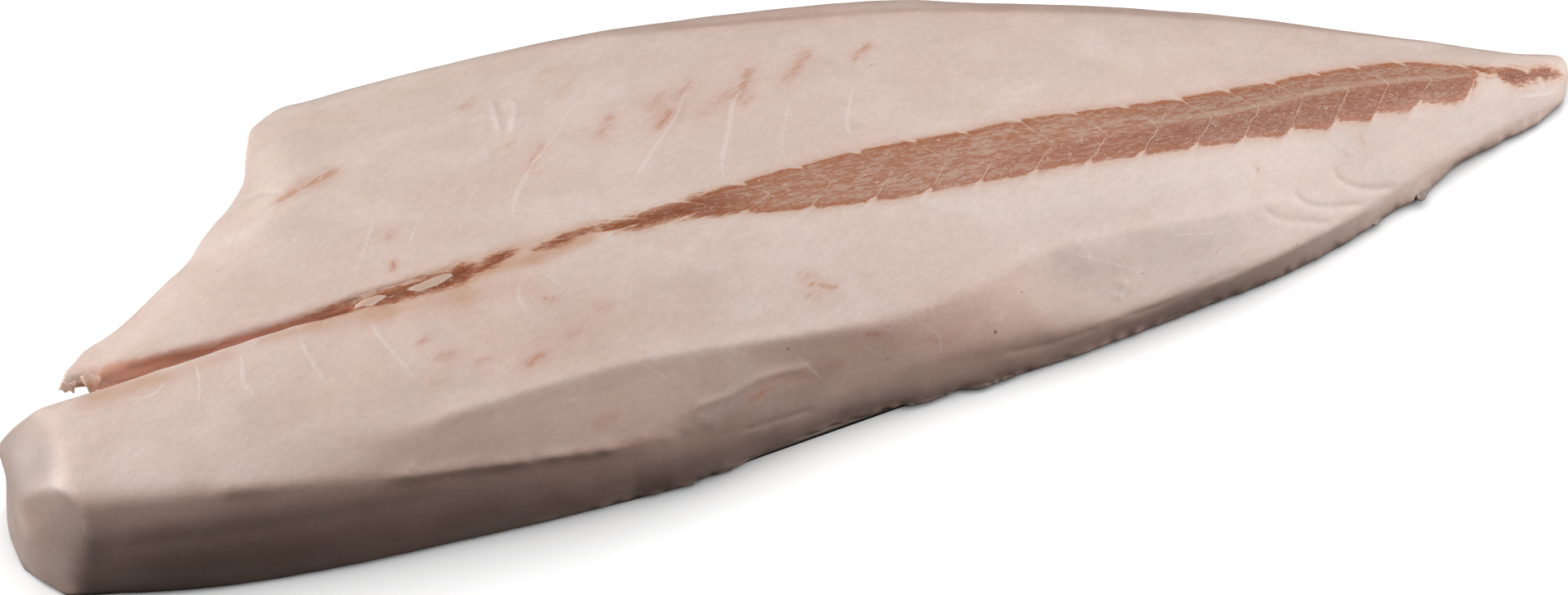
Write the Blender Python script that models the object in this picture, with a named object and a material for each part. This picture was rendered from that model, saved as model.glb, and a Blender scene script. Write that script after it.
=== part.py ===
"""A raw, skinned and trimmed butterfish loin, lying on its flat cut side.

The loin is one solid. Its body is lofted through cross-sections along X, and
each corner of a section follows a named line that runs from the blunt head
end (-X) to the tail tip (+X). Knife cuts then shape the two ends, and a slit
parts the thick back lobe (+Y) from the belly lobe (-Y) at the head end.
"""

import math

import bmesh
import bpy
from mathutils import Vector

MM = 0.001

# The middle of the loin's outline in the lines' coordinates, in mm. It becomes
# the origin, which lies on the surface that the loin rests on.
MIDDLE = Vector((1.85, -0.8, 0.0))

# Stations of the loft, in mm. Both ends run past the cuts that trim them.
HEAD_STATION = -342.0
TAIL_STATION = 342.0
SECTIONS = 71

# Lines along the loin, as (x, y, z) knots in mm. The foot line lies on z = 0.
BELLY_FOOT = [
    (-342, -64, 0), (-315, -76, 0), (-290, -85, 0), (-250, -94, 0), (-200, -99, 0),
    (-110, -103, 0), (-40, -98, 0), (30, -92, 0), (95, -93, 0), (150, -85, 0),
    (197, -74, 0), (235, -61, 0), (280, -46, 0), (318, -34, 0), (342, -24, 0),
]
LOWER_RIDGE = [
    (-342, -58, 53), (-300, -75, 54), (-250, -88, 55), (-200, -96, 49), (-150, -101, 44),
    (-100, -104, 38), (-60, -102, 33), (-25, -97, 27), (10, -94, 23), (75, -93, 20),
    (150, -85, 17), (190, -76, 15), (230, -63, 12), (280, -46, 9), (318, -35, 6),
    (342, -26, 5),
]
UPPER_RIDGE = [
    (-342, -46, 56), (-250, -66, 60), (-190, -85, 59), (-150, -84, 61), (-90, -82, 59),
    (-25, -85, 52), (10, -84, 47), (45, -78, 45), (82, -68, 42), (150, -66, 34),
    (190, -62, 26), (235, -53, 20), (280, -41, 14), (318, -31, 10), (342, -25, 8),
]
CROWN = [
    (-342, -20, 48), (-288, -20, 53), (-228, -22, 61), (-165, -24, 66), (-100, -23, 67),
    (-35, -24, 66), (35, -27, 62), (103, -27, 56), (175, -28, 47), (230, -27, 37),
    (285, -25, 25), (318, -23, 17), (342, -21, 13),
]
BACK_RIDGE = [
    (-342, 90, 42), (-189, 91, 50), (-115, 89, 55), (-60, 85, 57), (0, 75, 55),
    (64, 64, 51), (128, 47, 46), (194, 28, 37), (259, 7, 26), (318, -13, 15),
    (342, -18, 12),
]
BACK_EDGE = [
    (-342, 101, 38), (-187, 103, 43), (-115, 97, 50), (-60, 97, 47), (3, 93, 43),
    (70, 82, 39), (135, 64, 34), (200, 42, 27), (263, 16, 19), (318, -6, 10),
    (342, -12, 8),
]

# How far the soft flesh swells past the straight lines of a section, in mm.
BELLY_LOBE_SWELL = 2.2
BACK_LOBE_SWELL = 2.6
BELLY_SIDE_SWELL = 2.0
BACK_SIDE_SWELL = 1.0
FULL_SWELL_HEIGHT = 30.0

# Where the sides turn in to the flat underside: how far in, and how high up,
# in mm, or as a share of the side's height where the loin is thin.
BELLY_TUCK = (2.5, 5.0)
BACK_TUCK = (6.0, 9.0)
TUCK_SHARE_OF_HEIGHT = 0.38

# Rounding of a section's corners, in mm, and the points on each rounding.
RIDGE_ROUNDING = 4.5
FOOT_ROUNDING = 4.0
ROUNDING_POINTS = 3
LARGEST_SHARE_OF_SIDE = 0.42

# Knife faces that trim the ends, as a point in mm and a direction outwards.
HEAD_FACE = ((-328.5, -45, 0), (-0.996, 0.0, 0.085))
HEAD_BEVEL = ((-309, -45, 54.5), (-0.700, 0.050, 0.710))
HEAD_CORNER = ((-312, -72, 54), (-0.810, -0.584, 0.050))
TAIL_FACE = ((329, -19, 12), (0.945, -0.326, 0.000))
TAIL_TOP_BEVEL = ((330, -16, 13), (0.700, 0.300, 0.650))

# The curved cut across the back lobe's head end, as (x, y, z of its top edge,
# undercut at the foot) in mm. The first two points run inside the slit.
LOBE_CUT = [
    (-360, -19, 80, 0), (-300, -19, 80, 0), (-299, -12, 46, 9), (-289, -2, 46, 12),
    (-267, 13, 46, 12), (-251, 25, 46, 12), (-238, 32, 46, 11), (-229, 41, 46, 10),
    (-219, 53, 46, 10), (-211, 66, 45, 9), (-206, 81, 44, 8), (-199, 93, 43, 7),
    (-187, 102, 42, 6), (-160, 115, 41, 6),
]
LOBE_CUT_INWARDS = Vector((0.71, -0.70, 0.0))
LOBE_BEVEL_WIDTH = 60.0
LOBE_BEVEL_SLOPE = math.radians(28)

# The slit between the lobes, as (x, y, half width at the top, z of its bottom)
# in mm. It goes right through at the head end and runs out towards the tail.
SLIT = [
    (-360, -20, 5.6, -6), (-300, -20, 5.4, -6), (-262, -20, 5.0, -6), (-240, -21, 4.5, 6),
    (-215, -22, 3.6, 18), (-190, -24, 2.7, 32), (-165, -24, 1.9, 45), (-140, -25, 1.3, 56),
    (-118, -24, 0.6, 65),
]
SLIT_TOP = 75.0
SLIT_FLOOR_SHARE = 0.35

CUTTER_REACH = 140.0
CUTTER_FLOOR = -6.0
CUTTER_CEILING = 110.0

FLESH_COLOUR = (0.64, 0.50, 0.44, 1.0)
FLESH_ROUGHNESS = 0.42
SHARP_EDGE = math.radians(35)


def clear_scene():
    for obj in list(bpy.data.objects):
        bpy.data.objects.remove(obj, do_unlink=True)


def point_at(line, x):
    """The (y, z) of a line at station x, on a smooth curve through its knots."""
    last = len(line) - 1
    i = next(k for k in range(last) if x <= line[k + 1][0] or k == last - 1)
    before, here = line[max(i - 1, 0)], line[i]
    there, after = line[i + 1], line[min(i + 2, last)]
    span = there[0] - here[0]
    t = (x - here[0]) / span
    values = []
    for k in (1, 2):
        leave = (there[k] - before[k]) / (there[0] - before[0]) * span
        arrive = (after[k] - here[k]) / (after[0] - here[0]) * span
        values.append(
            here[k] * (2 * t**3 - 3 * t**2 + 1)
            + leave * (t**3 - 2 * t**2 + t)
            + there[k] * (3 * t**2 - 2 * t**3)
            + arrive * (t**3 - t**2)
        )
    return Vector(values)


def arched(start, end, swell, count):
    """Points between two corners of a section, on an arch that swells outwards."""
    side = end - start
    out = Vector((-side.y, side.x)).normalized()
    points = []
    for i in range(1, count + 1):
        t = i / (count + 1)
        points.append(start + side * t + out * (4 * t * (1 - t) * swell))
    return points


def rounded(before, corner, after, radius):
    """Points of the curve that replaces a corner."""
    reach_in = min(radius, (before - corner).length * LARGEST_SHARE_OF_SIDE)
    reach_out = min(radius, (after - corner).length * LARGEST_SHARE_OF_SIDE)
    start = corner + (before - corner).normalized() * reach_in
    end = corner + (after - corner).normalized() * reach_out
    points = []
    for i in range(ROUNDING_POINTS):
        t = i / (ROUNDING_POINTS - 1)
        points.append(start * (1 - t) ** 2 + corner * (2 * t * (1 - t)) + end * t**2)
    return points


def tucked(edge, height, tuck, inwards):
    """The two points where a side turns in to the underside."""
    depth = min(tuck[0], height * TUCK_SHARE_OF_HEIGHT)
    rise = min(tuck[1], height * TUCK_SHARE_OF_HEIGHT)
    return Vector((edge + inwards * depth, 0.0)), Vector((edge, rise))


def section_points(x):
    """The cross-section at station x as (y, z) points in mm: along the
    underside, up the belly side, over the top and down the back side."""
    belly_foot = point_at(BELLY_FOOT, x)
    lower_ridge = point_at(LOWER_RIDGE, x)
    upper_ridge = point_at(UPPER_RIDGE, x)
    crown = point_at(CROWN, x)
    back_ridge = point_at(BACK_RIDGE, x)
    back_edge = point_at(BACK_EDGE, x)
    belly_under, belly_low = tucked(belly_foot.x, lower_ridge.y, BELLY_TUCK, 1)
    back_under, back_low = tucked(back_edge.x, back_edge.y, BACK_TUCK, -1)
    fullness = min(1.0, lower_ridge.y / FULL_SWELL_HEIGHT)
    # Each corner, its rounding, and the swell and inner points of the side after it.
    corners = [
        (back_under, FOOT_ROUNDING, 0.0, 3),
        (belly_under, FOOT_ROUNDING, 0.0, 0),
        (belly_low, FOOT_ROUNDING, BELLY_SIDE_SWELL * fullness, 2),
        (lower_ridge, RIDGE_ROUNDING, 0.0, 1),
        (upper_ridge, RIDGE_ROUNDING, BELLY_LOBE_SWELL * fullness, 3),
        (crown, RIDGE_ROUNDING, BACK_LOBE_SWELL * fullness, 5),
        (back_ridge, RIDGE_ROUNDING, 0.0, 1),
        (back_edge, RIDGE_ROUNDING, BACK_SIDE_SWELL * fullness, 1),
        (back_low, FOOT_ROUNDING, 0.0, 0),
    ]
    arcs = []
    for i, (corner, radius, _, _) in enumerate(corners):
        after = corners[(i + 1) % len(corners)][0]
        arcs.append(rounded(corners[i - 1][0], corner, after, radius))
    points = []
    for i, (_, _, swell, inner_points) in enumerate(corners):
        next_arc = arcs[(i + 1) % len(corners)]
        points += arcs[i]
        points += arched(arcs[i][-1], next_arc[0], swell, inner_points)
    return points


def loft(name, rings):
    """A closed mesh through rings of equally many points in mm, ends capped."""
    mesh = bmesh.new()
    rows = [[mesh.verts.new((point - MIDDLE) * MM) for point in ring] for ring in rings]
    for row, following in zip(rows, rows[1:]):
        for i in range(len(row)):
            j = (i + 1) % len(row)
            mesh.faces.new((row[i], row[j], following[j], following[i]))
    mesh.faces.new(rows[0])
    mesh.faces.new(rows[-1])
    bmesh.ops.recalc_face_normals(mesh, faces=mesh.faces)
    data = bpy.data.meshes.new(name)
    mesh.to_mesh(data)
    mesh.free()
    obj = bpy.data.objects.new(name, data)
    bpy.context.scene.collection.objects.link(obj)
    return obj


def loin_body():
    rings = []
    for i in range(SECTIONS):
        x = HEAD_STATION + (TAIL_STATION - HEAD_STATION) * i / (SECTIONS - 1)
        rings.append([Vector((x, point.x, point.y)) for point in section_points(x)])
    return loft("loin", rings)


def slice_off(obj, knife_face):
    """Cuts away what lies outside a plane, and closes the cut."""
    point, outwards = knife_face
    mesh = bmesh.new()
    mesh.from_mesh(obj.data)
    cut = bmesh.ops.bisect_plane(
        mesh,
        geom=mesh.verts[:] + mesh.edges[:] + mesh.faces[:],
        dist=1e-7,
        plane_co=(Vector(point) - MIDDLE) * MM,
        plane_no=Vector(outwards).normalized(),
        clear_outer=True,
    )
    rim = [part for part in cut["geom_cut"] if isinstance(part, bmesh.types.BMEdge)]
    bmesh.ops.edgeloop_fill(mesh, edges=rim)
    bmesh.ops.recalc_face_normals(mesh, faces=mesh.faces)
    mesh.to_mesh(obj.data)
    mesh.free()


def lobe_cutter():
    """What the knife takes from the back lobe's head end: the wall leans in
    under its top edge, and a sloping face rises inwards from that edge."""
    rise = LOBE_BEVEL_WIDTH * math.tan(LOBE_BEVEL_SLOPE)
    rings = []
    for x, y, z, undercut in LOBE_CUT:
        edge = Vector((x, y, z))
        foot = edge + LOBE_CUT_INWARDS * undercut
        inner = edge + LOBE_CUT_INWARDS * LOBE_BEVEL_WIDTH + Vector((0, 0, rise))
        outer = edge - LOBE_CUT_INWARDS * CUTTER_REACH
        rings.append([
            Vector((foot.x, foot.y, CUTTER_FLOOR)),
            edge,
            inner,
            Vector((inner.x, inner.y, CUTTER_CEILING + rise)),
            Vector((outer.x, outer.y, CUTTER_CEILING + rise)),
            Vector((outer.x, outer.y, CUTTER_FLOOR)),
        ])
    return loft("lobe_cutter", rings)


def slit_cutter():
    rings = []
    for x, y, half_width, bottom in SLIT:
        floor_half = half_width * SLIT_FLOOR_SHARE
        rings.append([
            Vector((x, y - floor_half, bottom)),
            Vector((x, y + floor_half, bottom)),
            Vector((x, y + half_width, SLIT_TOP)),
            Vector((x, y - half_width, SLIT_TOP)),
        ])
    return loft("slit_cutter", rings)


def cut_with(obj, cutter):
    cutter.hide_render = True
    cutter.display_type = "WIRE"
    cut = obj.modifiers.new(cutter.name, "BOOLEAN")
    cut.operation = "DIFFERENCE"
    cut.solver = "EXACT"
    cut.object = cutter


def flesh_material():
    material = bpy.data.materials.new("raw_flesh")
    material.use_nodes = True
    shader = material.node_tree.nodes["Principled BSDF"]
    shader.inputs["Base Color"].default_value = FLESH_COLOUR
    shader.inputs["Roughness"].default_value = FLESH_ROUGHNESS
    shader.inputs["Metallic"].default_value = 0.0
    return material


def main():
    clear_scene()
    loin = loin_body()
    for knife_face in (HEAD_FACE, HEAD_BEVEL, HEAD_CORNER, TAIL_FACE, TAIL_TOP_BEVEL):
        slice_off(loin, knife_face)
    loin.data.materials.append(flesh_material())
    loin.data.shade_smooth()
    loin.data.set_sharp_from_angle(angle=SHARP_EDGE)
    cut_with(loin, lobe_cutter())
    cut_with(loin, slit_cutter())


main()
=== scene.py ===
"""The looks of a raw butterfish loin, as an add-on that is run as a script."""

import math

import bmesh
import bpy
import numpy as np
from bpy.props import FloatProperty, FloatVectorProperty, IntProperty, PointerProperty
from bpy.types import Operator, Panel, PropertyGroup
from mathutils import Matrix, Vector, noise


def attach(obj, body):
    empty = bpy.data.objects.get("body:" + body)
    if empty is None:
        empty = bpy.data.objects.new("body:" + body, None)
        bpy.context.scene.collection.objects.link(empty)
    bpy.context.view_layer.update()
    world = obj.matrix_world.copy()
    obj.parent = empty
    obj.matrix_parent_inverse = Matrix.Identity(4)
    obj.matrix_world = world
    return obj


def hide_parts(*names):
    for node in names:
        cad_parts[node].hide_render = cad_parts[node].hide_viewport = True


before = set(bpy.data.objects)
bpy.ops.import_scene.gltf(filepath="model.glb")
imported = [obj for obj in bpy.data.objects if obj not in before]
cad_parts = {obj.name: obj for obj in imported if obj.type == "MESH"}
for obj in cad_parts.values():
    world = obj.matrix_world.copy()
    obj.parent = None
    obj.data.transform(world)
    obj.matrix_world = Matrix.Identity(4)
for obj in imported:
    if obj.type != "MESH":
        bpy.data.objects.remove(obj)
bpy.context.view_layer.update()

bl_info = {
    "name": "Butterfish loin",
    "version": (1, 0, 0),
    "blender": (4, 5, 0),
    "location": "3D view > Sidebar > Loin",
    "description": "Flesh, dark muscle and studio for a raw butterfish loin",
    "category": "Object",
}

MM = 0.001

# ---------------------------------------------------------------- the loin's lines
# All lines are in mm, in the frame's own directions: +X towards the tail, +Y
# towards the back, +Z up. Lines with three numbers a point lie on the surface.

# The two edges that the knife left along the belly side, and the back's edge.
LOWER_RIDGE = [
    (-302, -74, 55), (-252, -87, 55), (-202, -95, 49), (-152, -100, 44), (-102, -103, 38),
    (-62, -101, 33), (-27, -96, 27), (8, -93, 23), (73, -92, 20), (148, -84, 17),
    (188, -75, 15), (228, -62, 12), (278, -45, 9), (316, -34, 6),
]
UPPER_RIDGE = [
    (-192, -84, 59), (-152, -83, 61), (-92, -81, 59), (-27, -84, 52), (8, -83, 47),
    (43, -77, 45), (80, -67, 42), (148, -65, 34), (188, -61, 26), (233, -52, 20),
]
RIDGE_HEIGHT = [(x, z) for x, _, z in LOWER_RIDGE]
BACK_RIDGE = [
    (-191, 92, 50), (-117, 90, 55), (-62, 86, 57), (-2, 76, 55), (62, 65, 51),
    (126, 48, 46), (192, 29, 37), (257, 8, 26), (316, -12, 15),
]

# The lips of the slit between the lobes, where they show.
BACK_LIP = [
    (-298, -12, 47), (-288, -12, 51), (-276, -15, 54), (-243, -16, 56), (-224, -18, 58),
    (-199, -20, 61), (-181, -21, 64), (-156, -21, 66),
]
BELLY_LIP = [
    (-300, -25, 53), (-273, -26, 56), (-257, -26, 58), (-225, -26, 61), (-200, -26, 63),
    (-177, -28, 65), (-150, -29, 66),
]
SLIT_MIDDLE = [(-330, -19.2), (-260, -19.2), (-213, -21.2), (-188, -23.2), (-110, -23.6)]
SLIT_HALF_WIDTH = [(-330, 5.6), (-262, 5), (-215, 3.6), (-190, 2.7), (-165, 1.9), (-116, 0.6)]

# The slit's two walls, and how far its back lip is drawn in, along the slit.
BACK_WALL = [(-290, -14), (-244, -16.8), (-220, -18.6), (-204, -20.4), (-188, -22.4)]
BELLY_WALL = -24.2
SLIT_CLOSING = [(-286, 0), (-262, 2), (-242, 3.6), (-226, 3.4), (-212, 2.8), (-204, 2.2),
                (-196, 1.3), (-186, 0)]
# The tissue that bridges the slit's narrow end: its top edge as (x, z).
BRIDGE_TOP = [(-188, 62.2), (-165, 64.4), (-140, 65.6), (-104, 66)]
BRIDGE_HALF_WIDTH = 4.6
BRIDGE_BOTTOM = 8.0

# Roughly how high the loin's top lies, as (x, z).
TOP_HEIGHT = [(-340, 50), (-165, 66), (100, 56), (230, 37), (330, 13)]

# The dark muscle's upper and lower edge and the seam along its middle, as (x, y).
MUSCLE_TOP = [
    (-91, -18.8), (-70, -17.8), (-52, -16.3), (-33, -15), (-15, -13.5), (3, -12.5), (22, -11.5),
    (41, -12), (62, -13), (81, -12), (106, -13), (127, -15), (150, -15.5), (171, -15), (192, -14),
    (210, -12), (229, -11), (244, -10), (259, -11), (274, -15), (288, -17.4),
]
MUSCLE_LOW = [
    (-91, -22), (-76, -25), (-63, -25), (-43, -28), (-20, -32.5), (0, -35), (24, -37),
    (48, -37.2), (71, -37.6), (91, -37), (114, -38), (132, -38.4), (158, -39), (187, -38),
    (206, -37), (222, -36), (239, -34), (256, -32), (269, -32), (276, -30), (281, -26),
    (284, -20.6), (289, -19.8),
]
MUSCLE_SEAM = [
    (-91, -20.5), (-25, -23.2), (28, -25), (96, -26.5), (131, -27.5), (167, -27.5), (190, -26),
    (206, -23.5), (240, -22), (281, -22),
]
# Where each chevron of connective tissue meets the seam, and how far its two
# arms reach back towards the head where they meet the muscle's edges.
CHEVRON_TIPS = [-72, -48, -24, 1, 26, 49, 70, 93, 116, 138, 161, 182, 203, 224, 243, 263, 290]
UPPER_ARM = 10.0
LOWER_ARM = 12.5
CHEVRONS_START = -84
CHEVRON_SPACING_AT_TAIL = 20

# The smaller patches of dark muscle at both ends of the band, as outlines.
MUSCLE_PATCHES = [
    [(-208, -21.8), (-196, -21.2), (-182, -21), (-158, -20.8), (-145, -20), (-141, -22),
     (-142, -25.6), (-147, -29.2), (-157, -29.6), (-177, -28.4), (-190, -27), (-203, -25.4),
     (-210, -23.4)],
    [(-148, -25.6), (-140, -23.6), (-135, -20.6), (-130, -19), (-124, -20.4), (-128, -23),
     (-134, -25.6), (-141, -26.4)],
    [(-119, -22.6), (-112, -20.4), (-106, -19), (-94, -18.6), (-92, -20.6), (-101, -21.6),
     (-106, -23.8), (-115, -23.8)],
    [(287, -17.6), (292, -18.4), (291.6, -21.2), (287.4, -21.8)],
    [(293.5, -18.6), (303, -18.6), (308, -21.2), (315, -19.8), (323.5, -23.2), (320, -24.4),
     (314, -25.8), (309, -25.2), (304, -26.8), (299, -26.6), (293.5, -23.6)],
]
# Pale membranes that span the dark tissue at the slit's end, as outlines.
MEMBRANES = [
    [(-192, -23.4), (-185, -22.6), (-179.5, -22.8), (-176, -24.8), (-181, -26.2), (-188, -25.4)],
    [(-169, -25), (-163, -23.4), (-156, -22.2), (-151, -22.6), (-150.4, -24.2), (-156, -26.6),
     (-165, -27.2)],
]

# Thin pale lines of connective tissue on the flesh. The last number of each
# line is its strength.
SEPTA = [
    ([(-24, 51, 60), (-36, 42, 62), (-46, 27, 64), (-61, 11, 66), (-71, -2, 66),
      (-70, -15, 66)], 0.7),
    ([(-12, 40, 61), (-21, 29, 63), (-28, 14, 64), (-36, -2, 65), (-39, -14, 66)], 1),
    ([(4, 30, 61), (-7, 9, 63), (-12, -5, 64), (-9, -13, 64)], 0.5),
    ([(31, 30, 59), (21, 12, 61), (17, 2, 62), (17, -9, 62)], 0.8),
    ([(46, 13, 59), (40, -4, 61)], 0.3),
    ([(75, 26, 55), (67, 15, 57), (59, -5, 59)], 0.35),
    ([(-167, 20, 63), (-172, 13, 63), (-180, -2, 64), (-185, -10, 64), (-184, -20, 64)], 0.7),
    ([(-140, 26, 64), (-151, 13, 64), (-159, 2, 65), (-163, -8, 65), (-162, -19, 66)], 0.6),
    ([(-122, 24, 64), (-136, 9, 65), (-142, -4, 66), (-140, -19, 66)], 0.5),
    ([(-84, 42, 63), (-100, 27, 65), (-108, 19, 65), (-118, 4, 66), (-122, -10, 66)], 1),
    ([(-111, 65, 60), (-112, 54, 61), (-113, 41, 63)], 1),
    ([(-105, 64, 60), (-103, 57, 61), (-106, 48, 62), (-111, 38, 63)], 1.2),
    ([(-99, -9, 66), (-95, -17, 67)], 0.6),
    ([(-126, -35, 67), (-130, -42, 67), (-129, -53, 66)], 0.8),
    ([(-121, -28, 67), (-111, -48, 66)], 0.5),
    ([(-288, -25.6, 54), (-257, -26, 58), (-225, -26, 61), (-203, -26, 63)], 0.6),
    ([(-252, -28, 60), (-252, -36, 61), (-255, -50, 61)], 0.8),
    ([(-234, -28, 61), (-236, -39, 62), (-237, -47, 62), (-232, -58, 62)], 0.9),
    ([(-212, -27, 63), (-212, -38, 63), (-208, -60, 62)], 0.9),
    ([(-185, -29, 65), (-185, -40, 65), (-182, -51, 65), (-176, -68, 63)], 0.9),
    ([(-263, -31, 59), (-266, -35, 59), (-271, -38, 59), (-281, -36, 58)], 0.8),
    ([(-151, -64, 64), (-140, -79, 61)], 0.4),
    ([(7, -82, 46), (18, -85, 39), (23, -88, 33), (22, -92, 24)], 0.9),
    ([(-10, -86, 42), (0, -90, 32)], 0.6),
    ([(-37, -87, 48), (-26, -93, 33)], 0.7),
    ([(60, -79, 36), (66, -84, 29), (69, -87, 25)], 0.5),
    ([(102, -81, 26), (100, -85, 23)], 1),
    ([(79, -68, 41), (112, -79, 29)], 0.5),
    ([(123, -70, 36), (150, -72, 30)], 0.5),
    ([(-148, -28, 66), (-144, -33, 66)], 0.5),
    ([(-96, -82, 60), (-84, -90, 52)], 0.5),
    ([(298, -31, 15), (312, -31, 12), (321, -29, 9)], 0.8),
]

# Reddish streaks and blotches: start, end, half width in mm and strength.
STAINS = [
    ((-202, 41, 58), (-195, 44, 58), 1.2, 1.4), ((-191, 45, 59), (-179, 48, 59), 1.7, 1.3),
    ((-118, 34, 64), (-109, 36, 64), 1.6, 0.35), ((-99, 29, 64), (-108, 20, 65), 2, 0.5),
    ((-76, 28, 65), (-70, 36, 64), 2.4, 0.5), ((-85, 55, 62), (-78, 62, 61), 4, 0.3),
    ((-53, 24, 65), (-47, 31, 64), 2.2, 0.75), ((-54, 36, 63), (-47, 42, 62), 3, 0.4),
    ((-42, 38, 63), (-34, 45, 62), 2, 0.45), ((-18, 32, 63), (-9, 45, 61), 2.3, 0.7),
    ((-17, 27, 63), (-13, 30, 63), 1.2, 0.4), ((-34, 27, 63), (-23, 34, 63), 3, 0.35),
    ((3, 35, 60), (17, 49, 57), 2.2, 0.6), ((34, 41, 57), (42, 47, 55), 1.8, 0.7),
    ((-122, 64, 60), (-117, 67, 59), 2.6, 0.4), ((-168, 77, 54), (-163, 79, 54), 3, 0.25),
    ((-169, 3, 64), (-167, 5, 64), 0.9, 0.7), ((-171, -13, 65), (-170, -10, 65), 0.8, 1),
    ((-171, -52, 65), (-168, -51, 65), 1, 0.7), ((-167, -61, 64), (-161, -60, 65), 2.2, 0.5),
    ((-135, -72, 63), (-129, -70, 63), 1.5, 0.8), ((-153, -66, 64), (-149, -66, 64), 1.4, 0.4),
    ((-172, -70, 63), (-167, -70, 63), 2.2, 0.3), ((-118, -65, 64), (-113, -64, 64), 2.4, 0.3),
    ((-116, -95, 47), (-109, -94, 48), 2.6, 0.35), ((-25, -60, 59), (-19, -62, 58), 1.2, 0.4),
    ((-22, -65, 57), (-12, -69, 56), 1.1, 0.85), ((-25, -69, 56), (-20, -72, 55), 1.6, 0.5),
    ((-3, -64, 56), (1, -66, 55), 1, 0.3), ((-103, -57, 65), (-99, -57, 65), 2.4, 0.4),
    ((-121, -47, 66), (-118, -48, 66), 0.6, 0.8), ((-57, -96, 37), (-52, -95, 38), 0.5, 1),
    ((-52, -95, 38), (-48, -94, 39), 0.5, 1), ((-6, -85, 44), (0, -87, 43), 0.6, 0.7),
    ((-126, -21, 67), (-119, -22, 67), 1.5, 0.45), ((-96, -20, 67), (-90, -20.5, 67), 1.5, 0.5),
    ((-90, 68, 59), (-84, 72, 58), 3.4, 0.3), ((172, -49, 37), (172, -51, 36), 0.7, 0.6),
    ((221, -43, 30), (222, -45, 29), 0.7, 0.5), ((20, -88, 34), (26, -90, 30), 3, 0.3),
    ((-40, -93, 40), (-20, -92, 38), 4, 0.25), ((2, -88, 36), (10, -87, 36), 5, 0.25),
]
# Small dark specks: place and radius in mm.
SPECKS = [
    ((-259, -78, 57), 0.45), ((48, -79, 41), 0.6), ((60, -79, 36), 0.7), ((46, -88, 28), 1.1),
    ((11, -84, 44), 0.6), ((-38, -86, 49), 0.8), ((1, -90, 32), 0.9), ((-76, -103, 27), 0.7),
    ((-157, -99, 44), 0.6), ((-148, -100, 42), 0.7), ((90, -86, 24), 0.5), ((180, -76, 16), 0.7),
    ((132, -83, 21), 0.5), ((124, -83, 22), 0.4), ((144, -76, 25), 0.4), ((94, -57, 45), 0.5),
    ((231, -61, 5), 0.5), ((259, -27, 29), 0.7), ((231, -33, 33), 0.6), ((221, -43, 30), 0.4),
    ((202, -42, 35), 0.5), ((-12, -94, 24), 0.6), ((-38, -99, 18), 0.7), ((-233, -63, 61), 0.4),
    ((39, 35, 57), 0.8), ((-79, 51, 62), 0.7), ((92, 28, 53), 0.7), ((-106, 8, 66), 0.4),
    ((-177, 38, 60), 0.35), ((-174, 26, 62), 0.35), ((-115, 34, 64), 0.3), ((-71, 21, 65), 0.4),
    ((-146, 47, 61), 0.3), ((-131, 70, 58), 0.4), ((-142, 72, 57), 0.5), ((-54, -100, 26), 0.5),
    ((111, -79, 28), 0.7), ((-76, -85, 59), 0.4), ((101, -86, 22), 0.5), ((-170, -12, 65), 0.4),
]
# Orange tint beside the slit and the muscle: start, end, half width, strength.
AMBER = [
    ((-291, -30, 56), (-268, -29.5, 58), 5, 0.85), ((-262, -31, 59), (-240, -30, 60), 3.5, 0.5),
    ((-225, -28, 61), (-206, -28.6, 63), 3, 0.7), ((-202, -28, 63), (-180, -32, 65), 5, 0.65),
    ((-180, -32, 65), (-150, -35, 66), 6, 0.6), ((-150, -36, 66), (-126, -38, 67), 7, 0.4),
    ((-146, -27, 66), (-122, -26, 67), 3.4, 1), ((-118, -27, 67), (-96, -24, 67), 3.2, 0.9),
    ((-148, -19, 66), (-92, -17, 67), 2.6, 0.45),
    ((-290, -14, 50), (-294, -18, 44), 5, 0.5),
]
# Flesh that is paler and creamier than the rest.
CREAM = [
    ((-205, 66, 54), (-130, 80, 57), 26, 0.5), ((-195, 40, 59), (-120, 40, 62), 14, 0.3),
    ((60, -52, 53), (210, -46, 34), 10, -0.6), ((50, -47, 56), (36, -42, 59), 6, -0.5),
]

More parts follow.
